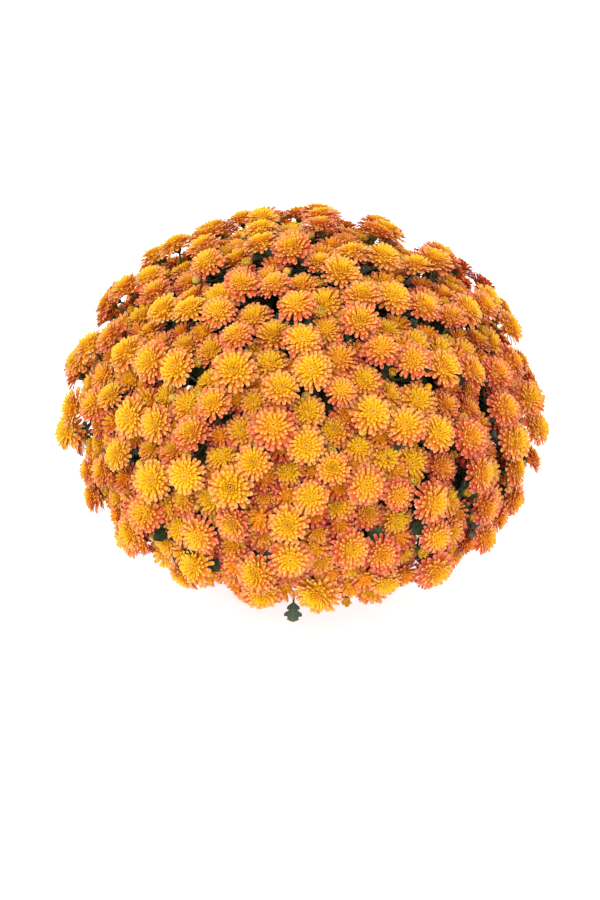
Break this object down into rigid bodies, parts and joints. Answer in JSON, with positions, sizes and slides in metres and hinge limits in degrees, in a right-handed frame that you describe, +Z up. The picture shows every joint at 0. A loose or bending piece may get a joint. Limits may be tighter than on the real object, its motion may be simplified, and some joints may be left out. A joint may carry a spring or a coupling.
{
  "type": "pot chrysanthemum",
  "caption": "Mounded chrysanthemum in full double bloom, orange and yellow, with lobed leaves, standing in a plain round pot of soil.",
  "frame": {"origin": "centre of the pot's flat base, on the surface it stands on", "axes": "+Z up along the pot; the pictured side of the dome faces -Y, with +X to its right"},
  "size_m": [0.4811, 0.4772, 0.3696],
  "materials": {
    "petals": "matte petals, golden yellow at the centre to salmon orange at the rim",
    "leaves": "matte dark green leaves and stems",
    "pot": "matte",
    "soil": "moist peat and bark mix, whose density is close to wood's"
  },
  "bodies": {
    "root": {"pot": "pot", "soil": "soil", "spray_01": "petals", "spray_02": "petals", "spray_03": "petals", "spray_04": "petals", "spray_05": "petals", "spray_06": "petals", "spray_07": "petals", "spray_08": "petals", "spray_09": "petals", "spray_10": "petals", "spray_11": "petals", "spray_12": "petals", "spray_13": "petals", "spray_14": "petals", "spray_15": "petals", "spray_16": "petals", "spray_17": "petals", "spray_18": "petals", "spray_19": "petals", "spray_20": "petals", "spray_21": "petals", "spray_22": "petals", "spray_23": "petals", "spray_24": "petals", "spray_25": "petals", "spray_26": "petals", "spray_27": "petals", "spray_28": "petals", "stem_01": "leaves", "stem_02": "leaves", "stem_03": "leaves", "stem_04": "leaves", "stem_05": "leaves", "stem_06": "leaves", "stem_07": "leaves", "stem_08": "leaves", "stem_09": "leaves", "stem_10": "leaves", "stem_11": "leaves", "stem_12": "leaves", "stem_13": "leaves", "stem_14": "leaves", "stem_15": "leaves", "stem_16": "leaves", "stem_17": "leaves", "stem_18": "leaves", "stem_19": "leaves", "stem_20": "leaves", "stem_21": "leaves", "stem_22": "leaves", "stem_23": "leaves", "stem_24": "leaves", "stem_25": "leaves", "stem_26": "leaves", "stem_27": "leaves", "stem_28": "leaves"}
  },
  "joints": []
}
